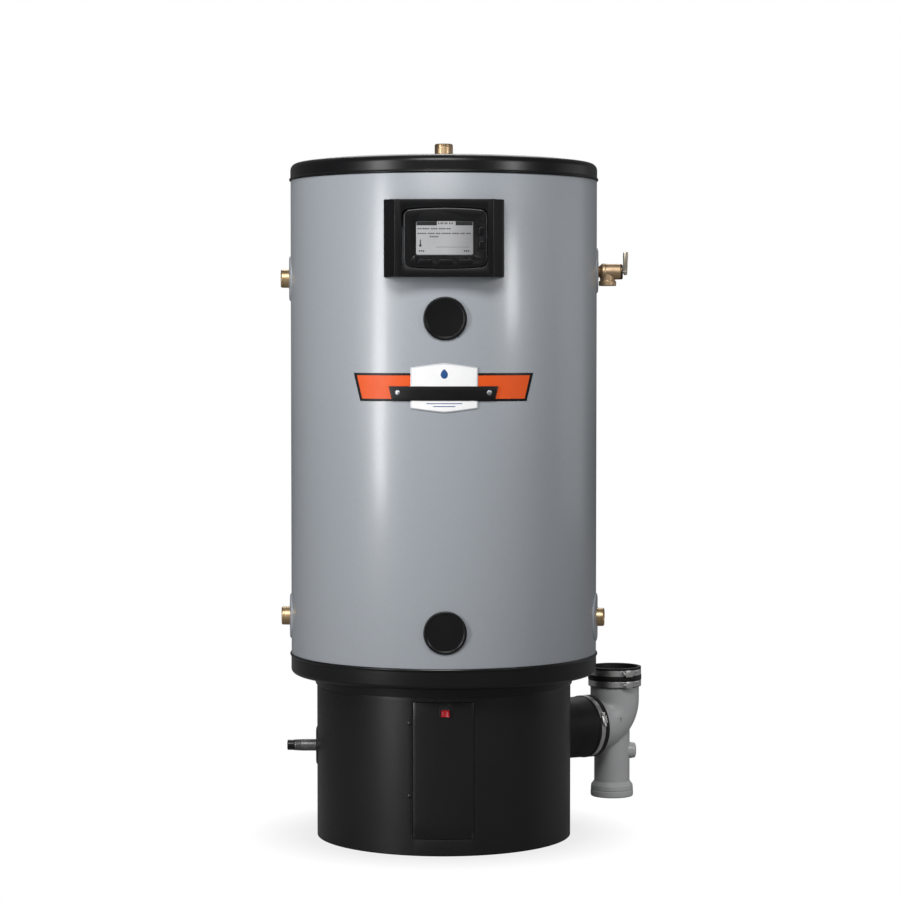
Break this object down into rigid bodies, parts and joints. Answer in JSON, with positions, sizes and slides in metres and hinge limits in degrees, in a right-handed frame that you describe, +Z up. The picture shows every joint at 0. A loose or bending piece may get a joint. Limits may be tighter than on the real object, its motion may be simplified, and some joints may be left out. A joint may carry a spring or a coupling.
{
  "type": "tank water heater",
  "caption": "Floor-standing condensing tank water heater: round grey jacket on a black skirt, side water ports, relief valve, display and rear vent tee.",
  "frame": {"origin": "centre of the base on the floor", "axes": "+Z up, the front with the display faces -Y, +X is the side with the relief valve and the vent"},
  "size_m": [0.6792, 0.5918, 1.267],
  "materials": {
    "jacket_paint": "satin grey powder coat",
    "black_plastic": "satin moulded black",
    "black_steel": "semi-gloss black paint",
    "zinc_steel": "zinc plated",
    "galvanised": "galvanised sheet",
    "foam": "cut polyurethane foam",
    "enamel": "glass-lined steel",
    "stainless": "stainless steel",
    "magnesium": "dull cast bar",
    "brass": "satin machined brass",
    "dark_brass": "oxidised",
    "gloss_black": "moulded satin-gloss black",
    "lcd": "grey liquid-crystal panel",
    "circuit_board": "green solder mask",
    "orange_print": "printed orange with a black border",
    "silver_plate": "brushed and lacquered",
    "ceramic": "glazed ceramic",
    "dark_pipe": "black iron pipe",
    "cast_aluminium": "die cast",
    "red_plastic": "translucent red rocker",
    "rubber": "moulded rubber",
    "vent_plastic": "moulded grey vent plastic",
    "spring_steel": "spring wire",
    "lever_steel": "yellow zinc plated steel"
  },
  "bodies": {
    "heater": {"jacket": "jacket_paint", "top_cap": "black_plastic", "bottom_cap": "black_plastic", "skirt": "black_steel", "access_panel": "black_steel", "panel_screws": "zinc_steel", "base_plate": "galvanised", "support_deck": "galvanised", "insulation": "foam", "tank_vessel": "enamel", "combustion_chamber": "stainless", "flue_pipes": "stainless", "flue_coil": "stainless", "burner": "stainless", "burner_flange": "cast_aluminium", "burner_bolts": "zinc_steel", "flame_rods": "ceramic", "anode_rod": "magnesium", "hot_outlet_nipple": "brass", "side_nipples": "brass", "pipe_escutcheons": "jacket_paint", "access_plugs": "black_plastic", "thermistors": "brass", "display_housing": "gloss_black", "display_bezel": "gloss_black", "lcd_screen": "lcd", "display_board": "circuit_board", "nameplate_band": "orange_print", "nameplate_center": "silver_plate", "nameplate_strip": "gloss_black", "nameplate_rivets": "zinc_steel", "relief_valve_body": "brass", "relief_bonnet": "dark_brass", "relief_spring": "spring_steel", "gas_pipe": "dark_pipe", "gas_pipe_cap": "black_plastic", "gas_escutcheon": "black_plastic", "gas_valve": "cast_aluminium", "gas_air_mixer": "cast_aluminium", "blower_housing": "cast_aluminium", "blower_motor": "black_steel", "control_box": "black_plastic", "switch_housing": "gloss_black", "exhaust_coupling": "rubber", "band_clamps": "stainless", "vent_tee": "vent_plastic", "vent_coupling": "rubber", "air_intake": "black_plastic", "cable_bushing": "rubber"},
    "relief_stem": {"relief_stem": "stainless", "relief_pin": "stainless"},
    "relief_lever": {"relief_lever": "lever_steel"},
    "blower_rotor": {"blower_impeller": "galvanised"},
    "gas_knob": {"gas_valve_knob": "red_plastic"},
    "power_rocker": {"switch_rocker": "red_plastic"},
    "key_left": {"key_left": "gloss_black"},
    "key_middle": {"key_middle": "gloss_black"},
    "key_right": {"key_right": "gloss_black"},
    "key_up": {"key_up": "gloss_black"},
    "key_down": {"key_down": "gloss_black"}
  },
  "joints": [
    {"name": "relief_stem_slide", "type": "slide", "parent": "heater", "child": "relief_stem", "axis": [1, 0, 0], "range_m": [0, 0.003]},
    {"name": "relief_lever_hinge", "type": "hinge", "parent": "relief_stem", "child": "relief_lever", "pos_m": [0.3318, 0, 1.034], "axis": [0, 1, 0], "range_deg": [0, 80], "stiffness_Nm_per_rad": 0.3},
    {"name": "blower_spin", "type": "hinge", "parent": "heater", "child": "blower_rotor", "pos_m": [-0.045, 0, 0.15], "axis": [0, 1, 0], "continuous": true},
    {"name": "gas_knob_turn", "type": "hinge", "parent": "heater", "child": "gas_knob", "pos_m": [-0.172, -0.004, 0.195], "axis": [0, 0, 1], "range_deg": [0, 90]},
    {"name": "power_switch", "type": "hinge", "parent": "heater", "child": "power_rocker", "pos_m": [0.0035, -0.231, 0.253], "axis": [0, 0, 1], "range_deg": [0, 16]},
    {"name": "key_left_press", "type": "slide", "parent": "heater", "child": "key_left", "axis": [0, 1, 0], "range_m": [0, 0.001], "stiffness_N_per_m": 400},
    {"name": "key_middle_press", "type": "slide", "parent": "heater", "child": "key_middle", "axis": [0, 1, 0], "range_m": [0, 0.001], "stiffness_N_per_m": 400},
    {"name": "key_right_press", "type": "slide", "parent": "heater", "child": "key_right", "axis": [0, 1, 0], "range_m": [0, 0.001], "stiffness_N_per_m": 400},
    {"name": "key_up_press", "type": "slide", "parent": "heater", "child": "key_up", "axis": [0, 1, 0], "range_m": [0, 0.001], "stiffness_N_per_m": 400},
    {"name": "key_down_press", "type": "slide", "parent": "heater", "child": "key_down", "axis": [0, 1, 0], "range_m": [0, 0.001], "stiffness_N_per_m": 400}
  ],
  "couplings": [
    {"joint": "relief_stem_slide", "follows": "relief_lever_hinge", "m_per_rad": 0.0021}
  ]
}
